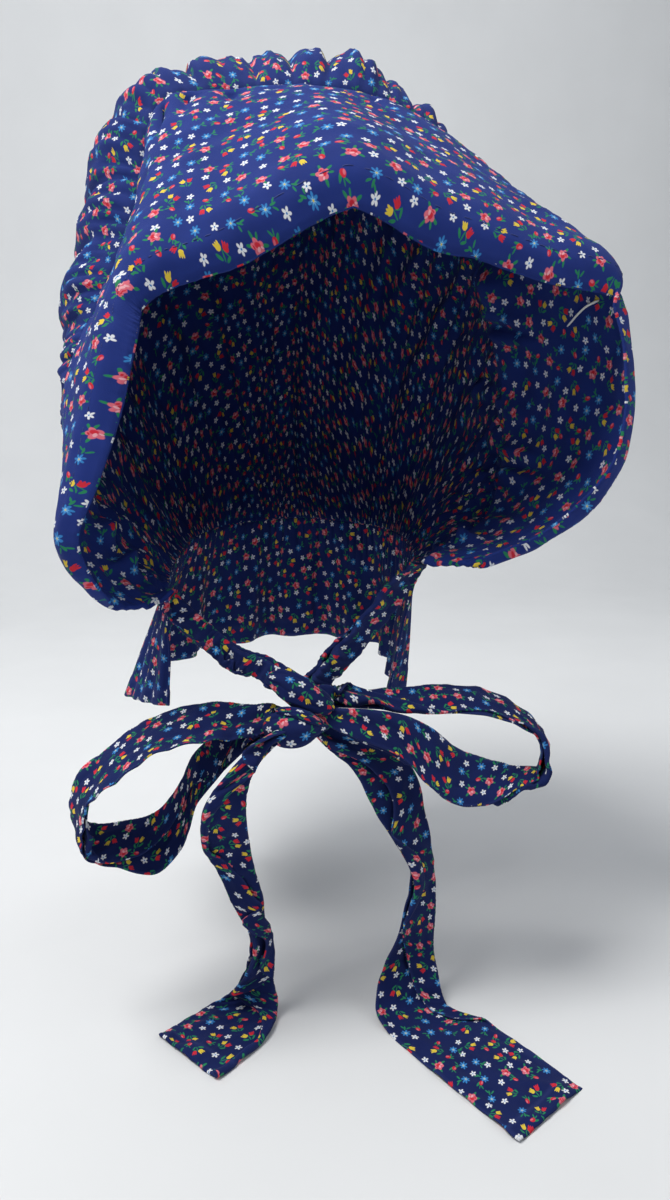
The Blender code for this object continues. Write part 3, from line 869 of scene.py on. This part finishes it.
def crown_cloth(along, out):
    point = crown_base(along, out)
    away = Vector((point.x, point.y * 0.6, point.z + 0.45 * BRIM_DROP)).normalized()
    place = along * SECTIONS
    length = along_seam(along)
    drift = 0.10 * ripple(length * 30, out * 2.0, 1.7) * out
    tall = puff(place + drift * 3) - 0.0022
    envelope = ease(0.0, 0.07, out) * ease(0.0, 0.10, 1 - out)
    envelope *= 1.0 - 0.42 * ease(0.25, 0.8, out)
    turn = length / GATHER_PITCH + 0.8 * ripple(length * 90, 0.0, 5.0)
    fine = 1 - 2 * abs(math.sin(math.pi * turn)) ** 0.7
    pleats = length / PLEAT_PITCH + 1.3 * ripple(length * 40, out * 1.3, 8.0)
    pleats = abs(math.sin(math.pi * pleats)) ** 0.7 - 0.6
    near_seam = ease(0.0, 0.03, out) * (1 - ease(0.05, 0.30, out))
    near_nape = ease(0.0, 0.03, 1 - out) * (1 - ease(0.05, 0.35, 1 - out))
    fold = ripple(length * 48, out * 1.6, 2.2) + 0.5 * ripple(length * 120, out * 3.0, 6.6)
    fold *= ease(0.15, 0.45, out) * ease(0.0, 0.12, 1 - out)
    corner = ease(0.0, 1.5, min(place, SECTIONS - place))
    lift = tall * envelope - GATHER_HEIGHT * fine * (near_seam + 0.8 * near_nape)
    lift += FOLD_HEIGHT * fold + PLEAT_HEIGHT * pleats * (envelope + 0.5 * near_nape)
    lift += CRUMPLE * crumple(length * 75 + out, out * 7, 27.0) * envelope
    return point + away * lift * corner


# %% The crown's mesh
def make_crown():
    middle = grid_of(CROWN_COLUMNS, CROWN_ROWS, crown_cloth)
    base = grid_of(CROWN_COLUMNS, CROWN_ROWS, crown_base)
    down = lengths(base, 1) * 1.06
    across = np.array([along_seam(i / CROWN_COLUMNS) for i in range(CROWN_COLUMNS + 1)])
    bolt = np.stack([across[:, None] * CROWN_FULLNESS + 0 * down, down], axis=2)
    out = np.linspace(0, 1, CROWN_ROWS + 1)[None, :] + 0 * down
    # The mark for wear and painted highlight, near the gathered seam.
    wear_and_highlight = 0.4 * np.clip(1 - out / 0.03, 0, 1)
    half = np.full(down.shape, 0.0004)
    piece = lay("crown_cloth", middle, bolt, wear_and_highlight, half)
    flat = (float(bolt[:, :, 0].max()), float(down.max()))
    area = float(((down[1:, -1] + down[:-1, -1]) / 2 * np.diff(bolt[:, 0, 0])).sum())
    print("flat crown:", round(flat[0], 3), "by", round(flat[1], 3), "m, area", round(area, 4))
    return piece, flat, area


crown, crown_flat, crown_area = make_crown()
dress(crown, "crown", calico("crown_calico", painted_lighting=CROWN_PAINTED_LIGHT), flat=crown_flat)

# %% [markdown]
# ## The neck frill
#
# A straight strip of calico hangs from the nape seam to keep the sun off the neck. It is
# gathered at the top, so it starts in fine pleats and opens into soft waves at its hem. The hem
# is turned up once, which doubles the cloth there, so the sheet is simply made thicker.

# %% Where the frill lies
RUFFLE_COUNT = 9
RUFFLE_HEIGHT = 0.0060
HEM = 0.86
FRILL_COLUMNS = 420
FRILL_ROWS = 30


def frill_cloth(along, down):
    place = along * SECTIONS
    start = nape_point(place) - Vector((0.0, 0.0, CLOTH_GAP))
    row = station(CURTAIN_STATIONS, place)
    hang = Vector((row[0] * HALF_WIDTH, row[1] * CROWN_BACK, -row[2] * CURTAIN_LENGTH))
    calm = 0.22 + 0.78 * ease(0.05, 0.22, along) * ease(0.03, 0.12, 1 - along)
    away = Vector((start.x, start.y, 0.0)).normalized()
    drift = 0.018 * ripple(along * 9, down * 1.2, 4.4)
    wave = math.sin(2 * math.pi * RUFFLE_COUNT * (along + drift * down))
    crease = ripple(along * 60, down * 1.5, 9.2)
    fine = abs(math.sin(math.pi * along * 62 + 2.0 * ripple(along * 30, 0.0, 1.0))) ** 0.7
    lift = RUFFLE_HEIGHT * down * wave * calm + 0.0020 * crease * ease(0.1, 0.5, down)
    lift += 0.0011 * (1 - 2 * fine) * ease(0.0, 0.05, down) * (1 - ease(0.10, 0.45, down))
    return start + hang * down + away * lift


def make_frill():
    middle = grid_of(FRILL_COLUMNS, FRILL_ROWS, frill_cloth)
    hem_line = lengths(middle[:, -1:, :], 0)[:, 0] * 1.04
    down = lengths(middle, 1)
    bolt = np.stack([hem_line[:, None] + 0 * down, down], axis=2)
    share = np.linspace(0, 1, FRILL_ROWS + 1)[None, :] + 0 * down
    # The hem's edge and its fold line are marked paler: wear, and a painted highlight on the fold.
    wear_and_highlight = 0.7 * np.clip((share - 0.98) / 0.02, 0, 1) + 0.35 * (abs(share - HEM) < 0.02)
    half = np.where(share > HEM, 0.00075, 0.0004)
    piece = lay("neck_frill_cloth", middle, bolt, wear_and_highlight, half)
    flat = (float(hem_line[-1]), float(down.max()))
    area = float(((down[1:, -1] + down[:-1, -1]) / 2 * np.diff(hem_line)).sum())
    print("flat frill:", round(flat[0], 3), "by", round(flat[1], 3), "m")
    return piece, flat, area


frill, frill_flat, frill_area = make_frill()
dress(frill, "neck_curtain", calico("frill_calico"), flat=frill_flat)

# %% [markdown]
# ## The straps
#
# Each tie was cut about 8 cm wide, folded in half and sewn, so it is a flat strap 41 mm wide.
# Where it looks narrower it is folded over on itself, as ribbon is when it is pulled through a
# knot. So the strap is laid as a real zigzag: it runs across to the far edge, turns with a small
# round fold and comes back behind. The narrower the place, the more layers there are, and the
# print stays whole on all of them.

# %% A strap that folds back on itself
STRAP_WIDTH = 0.041
STRAP_COLUMNS = 170
STRAP_ROWS = 64
FOLD_RADIUS = 0.00075
LEAST_WIDTH = 0.0085
PLEAT = 0.0011
PLEAT_REACH = 0.20
END_HEM = 0.007


def zigzag(length, width, radius):
    """Sideways place and depth of a point that far along the cloth's own width."""
    run = max(width, LEAST_WIDTH) - 2 * radius
    lap = run + math.pi * radius
    layer = int(length / lap)
    rest = length - layer * lap
    if rest < run:
        side = radius + rest
        depth = 2 * radius * layer
    else:
        turn = (rest - run) / radius
        side = radius + run + radius * math.sin(turn)
        depth = 2 * radius * layer + radius * (1 - math.cos(turn))
    if layer % 2:
        side = 2 * radius + run - side
    return side, depth, max(0.0, 1 - abs(rest - run) / 0.004)


def knot_middle():
    return Vector((-KNOT_OFFSET, -KNOT_FORWARD, -BRIM_DROP - KNOT_DROP))


def loop_edges(rows, along):
    row = through(rows, along * (len(rows) - 1))
    near = Vector((row[0] * LOOP_REACH, -row[1] * LOOP_SPREAD, row[2] * LOOP_SPREAD))
    far = Vector((row[3] * LOOP_REACH, -row[4] * LOOP_SPREAD, row[5] * LOOP_SPREAD))
    return knot_middle() + near, knot_middle() + far


def tail_edges(rows, along):
    row = through(rows, along * (len(rows) - 1))
    outer = Vector((row[0] * LOOP_REACH, -row[1] * LOOP_REACH, -row[2] * TAIL_DROP))
    inner = Vector((row[3] * LOOP_REACH, -row[4] * LOOP_REACH, -row[5] * TAIL_DROP))
    return knot_middle() + outer, knot_middle() + inner


def tie_edges(rows, corner_place, along):
    row = through(rows, along * (len(rows) - 1))
    corner = brim_point(corner_place, 0.0)
    entry = knot_middle() + Vector((0.0, 0.0, TIE_ENTRY * KNOT_HEIGHT))
    point = corner.lerp(entry, row[0]) - Vector((0.0, 0.0, row[4] * KNOT_DROP))
    half = Vector((row[1], -row[2], row[3])) * KNOT_WIDTH
    return point - half, point + half


def make_strap(name, edges, seed, knots):
    """edges(along) gives both selvedges; knots are the ends that run into the knot."""
    full = STRAP_WIDTH
    middle = np.zeros((STRAP_COLUMNS + 1, STRAP_ROWS + 1, 3))
    wear_and_highlight = np.zeros((STRAP_COLUMNS + 1, STRAP_ROWS + 1))
    run = 0.0
    bolt = np.zeros((STRAP_COLUMNS + 1, STRAP_ROWS + 1, 2))
    last = None
    for i in range(STRAP_COLUMNS + 1):
        along = i / STRAP_COLUMNS
        near, far = edges(along)
        before = sum(edges(max(along - 0.01, 0.0)), Vector()) / 2
        after = sum(edges(min(along + 0.01, 1.0)), Vector()) / 2
        centre = (near + far) / 2
        if last is not None:
            run += (centre - last).length
        last = centre
        width = (far - near).length + 0.0007 * ripple(along * 22, 0.0, seed + 7)
        side_way = (far - near).normalized()
        deep_way = (after - before).cross(side_way).normalized()
        close = max(1 - abs(along - knot) / PLEAT_REACH for knot in knots)
        close = ease(0.0, 1.0, close)
        for j in range(STRAP_ROWS + 1):
            length = full * j / STRAP_ROWS
            side, depth, turn = zigzag(length, width, FOLD_RADIUS)
            slack = 0.0012 * ripple(along * 12, length * 90, seed)
            slack += 0.0004 * crumple(along * 20, length * 110, seed + 3)
            slack += PLEAT * close * math.sin(6.2832 * 3.5 * length / full + seed)
            flare = ease(0.0, 0.25, along) * 0.0003 * depth / 0.0015
            middle[i, j] = centre + side_way * (side - width / 2) + deep_way * (depth + slack + flare)
            bolt[i, j] = (length, run)
            rim = max(0.0, 1 - min(length, full - length) / 0.0012)
            # Selvedges and fold turns are marked paler: wear, and a painted highlight on the fold
            # edges.
            wear_and_highlight[i, j] = max(rim * 0.3, turn * 0.35 * (0.5 + ripple(along * 30, j * 0.1, seed)))
    half = np.full(wear_and_highlight.shape, 0.00042)
    if knots == (0.0,):
        to_end = run - bolt[:, :1, 1] + 0 * half
        half = np.where(to_end < END_HEM, 0.00080, half)
        wear_and_highlight = np.where(abs(to_end - END_HEM) < 0.0010, 0.35, wear_and_highlight)
    bolt += np.array([seed * 0.311, seed * 0.173])
    return lay(name, middle, bolt, np.clip(wear_and_highlight, 0, 1), half), run


STRAPS = (
    ("tie_left", lambda along: tie_edges(TIE_LEFT, 0.0, along), 1.0, (1.0,)),
    ("tie_right", lambda along: tie_edges(TIE_RIGHT, 1.0, along), 2.0, (1.0,)),
    ("loop_left", lambda along: loop_edges(LOOP_LEFT, along), 3.0, (0.0, 1.0)),
    ("loop_right", lambda along: loop_edges(LOOP_RIGHT, along), 4.0, (0.0, 1.0)),
    ("tail_left", lambda along: tail_edges(TAIL_LEFT, along), 5.0, (0.0,)),
    ("tail_right", lambda along: tail_edges(TAIL_RIGHT, along), 6.0, (0.0,)),
)
BOW_PRINT = 0.78
for node, edges, seed, knots in STRAPS:
    strap, run = make_strap(node + "_cloth", edges, seed, knots)
    print(node, "is", round(run, 3), "m long")
    dress(strap, node, calico(node + "_calico", BOW_PRINT, BOW_PAINTED_SHADE),
          flat=(STRAP_WIDTH, run))

# %% [markdown]
# ## The knot
#
# The bow is held by a knot of bunched strap. The left tie spreads into a band that crosses over
# the front, a plump lobe of the other strap lies below it, and a narrow fold is pinched between
# the two. Each is a soft roll whose pleats run along it, with round tops and sharp creases
# between. A swept tube would have one width from end to end, so each row of these tables gives
# the roll's own width and depth too.

# %% Rolls of bunched cloth
# Columns in millimetres from the middle of the knot: across, forward, up, half width, half depth.
KNOT_BAND = (
    (-12.5, 0.5, 15.4, 3.0, 2.4),
    (-7.0, 2.5, 13.4, 5.2, 3.8),
    (-1.0, 4.6, 10.2, 6.8, 4.6),
    (5.0, 5.6, 6.4, 6.4, 5.0),
    (10.5, 4.6, 3.4, 5.0, 4.6),
    (14.8, 1.5, 1.0, 3.0, 3.4),
)
KNOT_LOBE = (
    (-14.0, 1.0, -6.4, 3.4, 2.6),
    (-9.0, 5.5, -5.6, 6.8, 5.0),
    (-2.5, 8.6, -5.0, 8.3, 6.2),
    (4.0, 8.0, -4.6, 6.2, 5.4),
    (9.0, 6.0, -5.2, 3.2, 3.6),
    (13.0, 3.0, -6.6, 1.6, 2.2),
)
KNOT_FOLD = (
    (-9.5, 6.0, 2.4, 1.4, 1.4),
    (-3.0, 10.8, 2.9, 2.2, 2.0),
    (3.5, 12.2, 0.2, 2.4, 2.2),
    (9.5, 9.0, -4.0, 1.4, 1.8),
)
ROLLS = (
    ("knot_band", KNOT_BAND, 5, 0.9),
    ("knot_lobe", KNOT_LOBE, 5, 4.0),
    ("knot_fold", KNOT_FOLD, 3, 2.1),
)
ROLL_STATIONS = 70
ROLL_AROUND = 84


def make_roll(name, path, pleats, seed):
    points = []
    places = []
    worn_and_highlight = []
    last = len(path) - 1
    run = 0.0
    before = None
    for i in range(ROLL_STATIONS + 1):
        share = i / ROLL_STATIONS
        row = [value * 0.001 for value in through(path, share * last)]
        here = Vector((row[0], -row[1], row[2]))
        ahead = through(path, min(share + 0.02, 1.0) * last)
        back = through(path, max(share - 0.02, 0.0) * last)
        way = Vector((ahead[0] - back[0], back[1] - ahead[1], ahead[2] - back[2])).normalized()
        wide = way.cross(Vector((0.0, -1.0, 0.0))).normalized()
        front = wide.cross(way).normalized()
        close = math.sqrt(max(1 - (2 * share - 1) ** 8, 0.0004))
        if before is not None:
            run += (here - before).length
        before = here
        for k in range(ROLL_AROUND):
            turn = 2 * math.pi * k / ROLL_AROUND
            wander = 1.1 * ripple(share * 2.2, 0.0, seed) + 0.35 * ripple(turn, share * 3, seed)
            crease = abs(math.sin(pleats * turn / 2 + wander))
            pinch = 0.10 + 0.22 * abs(2 * share - 1)
            tall = 1 - pinch * (1 - crease ** 0.5) + 0.05 * ripple(turn * 1.5, share * 5, seed)
            tall += 0.045 * crumple(math.cos(turn) * 1.6 + share * 3, math.sin(turn) * 1.6, seed)
            out = wide * math.cos(turn) * row[3] + front * math.sin(turn) * row[4]
            points.append(tuple(knot_middle() + here + out * tall * close))
            places.append((turn * 0.0062 + seed * 0.21, run + seed * 0.4))
            # Pleat tops are marked a little paler: wear, and a painted highlight on the ridges.
            worn_and_highlight.append(0.12 * crease ** 6)
    faces = []
    for i in range(ROLL_STATIONS):
        for k in range(ROLL_AROUND):
            a = i * ROLL_AROUND + k
            b = i * ROLL_AROUND + (k + 1) % ROLL_AROUND
            faces.append([a, b, b + ROLL_AROUND, a + ROLL_AROUND])
    faces.append(list(range(ROLL_AROUND))[::-1])
    faces.append([ROLL_STATIONS * ROLL_AROUND + k for k in range(ROLL_AROUND)])
    return sew(name, np.array(points), faces, np.array(places), np.array(worn_and_highlight))


# The knot's navy gets the same painted shade as the straps.
knot_calico = calico("knot_calico", BOW_PRINT, BOW_PAINTED_SHADE)
for name, path, pleats, seed in ROLLS:
    roll = make_roll(name, path, pleats, seed)
    dress(roll, "knot", knot_calico)
    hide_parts("knot")

# %% [markdown]
# ## Stitches and a loose thread
#
# The brim's front edge is turned under and held by one row of stitches, and the free ends of the
# ties have a sewn hem. Each stitch is a short rounded bit of thread that sinks into the cloth at
# both ends. One pale thread has come loose on the inside of the left wing. A curve with a bevel
# would draw a thread too, but stitches from plain mesh rings are lighter and keep one object.

# %% Sewing thread
THREAD_RADIUS = 0.00021
STITCH = 0.0024
STITCH_STEP = 0.0036
THREAD_SIDES = 6


def thread_material(name, colour):
    fibre = bpy.data.materials.new(name)
    fibre.use_nodes = True
    tree = fibre.node_tree
    shader = tree.nodes["Principled BSDF"]
    start = Thread(tree, None)
    spot = start.node("ShaderNodeTexCoord", {}, {}, 3)
    twist = start.node("ShaderNodeTexNoise", {}, {"Vector": spot, "Scale": 2600.0})
    pale = tuple(min(value * 1.5, 1.0) for value in colour)
    tone = start.node(
        "ShaderNodeMix", {"data_type": "RGBA"}, {0: twist, 6: (*colour, 1.0), 7: (*pale, 1.0)}, 2
    )
    tree.links.new(tone.socket, shader.inputs["Base Color"])
    shader.inputs["Roughness"].default_value = 0.7
    return fibre


def threads(name, paths, radius=THREAD_RADIUS):
    """Rings of points along each path, closed at both ends."""
    points = []
    faces = []
    for path in paths:
        first = len(points)
        for k, here in enumerate(path):
            way = (path[min(k + 1, len(path) - 1)] - path[max(k - 1, 0)]).normalized()
            side = way.orthogonal().normalized()
            other = way.cross(side)
            thick = radius * (0.55 if k in (0, len(path) - 1) else 1.0)
            for s in range(THREAD_SIDES):
                turn = 2 * math.pi * s / THREAD_SIDES
                out = side * math.cos(turn) + other * math.sin(turn)
                points.append(tuple(here + out * thick))
        for k in range(len(path) - 1):
            for s in range(THREAD_SIDES):
                a = first + k * THREAD_SIDES + s
                b = first + k * THREAD_SIDES + (s + 1) % THREAD_SIDES
                faces.append([a, b, b + THREAD_SIDES, a + THREAD_SIDES])
        faces.append([first + s for s in range(THREAD_SIDES)][::-1])
        end = first + (len(path) - 1) * THREAD_SIDES
        faces.append([end + s for s in range(THREAD_SIDES)])
    zeros = np.zeros((len(points), 2))
    return sew(name, np.array(points), faces, zeros, zeros[:, 0])


# %% The row of stitches along the brim's front edge
STITCH_ROW = 0.925
BRIM_EDGE = sum((brim_point((k + 1) / 200, STITCH_ROW) - brim_point(k / 200, STITCH_ROW)).length
                for k in range(200))


def brim_stitches():
    count = int(BRIM_EDGE / STITCH_STEP)
    paths = []
    for k in range(count):
        middle = (k + 0.5) / count
        reach = STITCH / BRIM_EDGE / 2
        path = []
        for share in (-1.0, -0.55, 0.0, 0.55, 1.0):
            along = middle + share * reach
            rise = 0.00125 + 0.00012 * (1 - share * share) - 0.0003 * abs(share) ** 4
            path.append(brim_cloth(along, STITCH_ROW) + brim_away(along, STITCH_ROW) * rise)
        paths.append(path)
    print(count, "stitches along the brim")
    return paths


SEWING_BLUE = (0.010, 0.022, 0.13)
stitches = threads("brim_stitches", brim_stitches())
dress(stitches, "brim", thread_material("sewing_thread", SEWING_BLUE))

# %% The loose thread on the wing
SNAG_ALONG = (0.7432, 0.7045)
SNAG_OUT = (0.54, 0.78)


def snag_path():
    path = []
    for k in range(13):
        share = k / 12
        along = SNAG_ALONG[0] + (SNAG_ALONG[1] - SNAG_ALONG[0]) * share
        out = SNAG_OUT[0] + (SNAG_OUT[1] - SNAG_OUT[0]) * share
        out += 0.006 * math.sin(2 * math.pi * share * 1.2)
        rise = 0.0018 + 0.0012 * math.sin(math.pi * share)
        path.append(brim_cloth(along, out) - brim_away(along, out) * rise)
    return path


snag = threads("loose_thread", [snag_path()], THREAD_RADIUS * 2.4)
dress(snag, "brim", thread_material("white_thread", (0.72, 0.72, 0.70)))

# %% [markdown]
# ## The set
#
# A pale table that curves up into a pale wall has no horizon to draw the eye. One large soft
# light stands above and a little in front, as in a product photo, and the pale room fills the
# shadows.

# %% Table and wall
TABLE = -0.402


def make_set():
    profile = [(-2.0, 0.0), (0.9, 0.0)]
    for k in range(1, 17):
        turn = math.pi / 2 * k / 16
        profile.append((0.9 + 0.7 * math.sin(turn), 0.7 * (1 - math.cos(turn))))
    profile.append((1.6, 3.0))
    points = [(x, y, TABLE + z) for y, z in profile for x in (-3.0, 3.0)]
    faces = [[2 * k, 2 * k + 1, 2 * k + 3, 2 * k + 2] for k in range(len(profile) - 1)]
    mesh = bpy.data.meshes.new("table_and_wall")
    mesh.from_pydata(points, [], faces)
    mesh.shade_smooth()
    backdrop = bpy.data.objects.new("table_and_wall", mesh)
    bpy.context.scene.collection.objects.link(backdrop)
    paper = bpy.data.materials.new("pale_paper")
    paper.use_nodes = True
    tree = paper.node_tree
    shader = tree.nodes["Principled BSDF"]
    start = Thread(tree, None)
    spot = start.node("ShaderNodeTexCoord", {}, {}, 3)
    grain = start.node("ShaderNodeTexNoise", {}, {"Vector": spot, "Scale": 9.0, "Detail": 4.0})
    tone = start.node(
        "ShaderNodeMix", {"data_type": "RGBA"},
        {0: grain, 6: (0.64, 0.65, 0.66, 1.0), 7: (0.70, 0.71, 0.72, 1.0)}, 2,
    )
    tree.links.new(tone.socket, shader.inputs["Base Color"])
    shader.inputs["Roughness"].default_value = 0.7
    mesh.materials.append(paper)
    return backdrop


make_set()

# %% Lights
def softbox(name, place, aim, size, power, colour):
    light = bpy.data.lights.new(name, "AREA")
    light.shape = "RECTANGLE"
    light.size = size[0]
    light.size_y = size[1]
    light.energy = power
    light.color = colour
    lamp = bpy.data.objects.new(name, light)
    lamp.location = place
    lamp.rotation_euler = (Vector(aim) - Vector(place)).to_track_quat("-Z", "Y").to_euler()
    bpy.context.scene.collection.objects.link(lamp)
    print(name, "gives", power, "watts")


softbox("softbox_above", (-0.60, -0.22, 1.00), (0.0, -0.02, -0.08), (0.7, 0.6), 21.0,
        (1.0, 0.99, 0.97))
softbox("softbox_right", (1.1, -0.6, 0.50), (0.0, 0.0, -0.15), (0.9, 0.9), 3.0,
        (0.96, 0.98, 1.0))
softbox("softbox_wall", (0.0, 0.45, 1.20), (0.0, 1.6, -0.10), (2.2, 0.5), 9.0,
        (0.98, 0.99, 1.0))
room = bpy.data.worlds.new("pale_room")
room.use_nodes = True
room.node_tree.nodes["Background"].inputs["Color"].default_value = (0.86, 0.90, 0.95, 1.0)
room.node_tree.nodes["Background"].inputs["Strength"].default_value = 0.38
bpy.context.scene.world = room

# %% [markdown]
# ## The camera
#
# The photograph was taken from slightly above, a step to the wearer's right, with a wide phone
# lens held upright. A focal length of 901 pixels on a picture 1200 pixels tall gives the lens.

# %% The photographer's place
PICTURE_HEIGHT = 1200
FOCAL_PIXELS = 901
CAMERA_PLACE = (-0.0846, -0.4556, -0.1509)
CAMERA_TURN = 12.0
CAMERA_PITCH = 10.0

lens = bpy.data.cameras.new("photographer")
lens.sensor_fit = "VERTICAL"
lens.sensor_height = 36.0
lens.lens = FOCAL_PIXELS / PICTURE_HEIGHT * lens.sensor_height
lens.clip_start = 0.01
lens.clip_end = 20.0
photographer = bpy.data.objects.new("photographer", lens)
photographer.location = CAMERA_PLACE
photographer.rotation_euler = (
    math.radians(90.0 - CAMERA_PITCH), 0.0, -math.radians(CAMERA_TURN)
)
bpy.context.scene.collection.objects.link(photographer)
bpy.context.scene.camera = photographer
bpy.context.scene.view_settings.view_transform = "Standard"
print("lens:", round(lens.lens, 2), "mm")
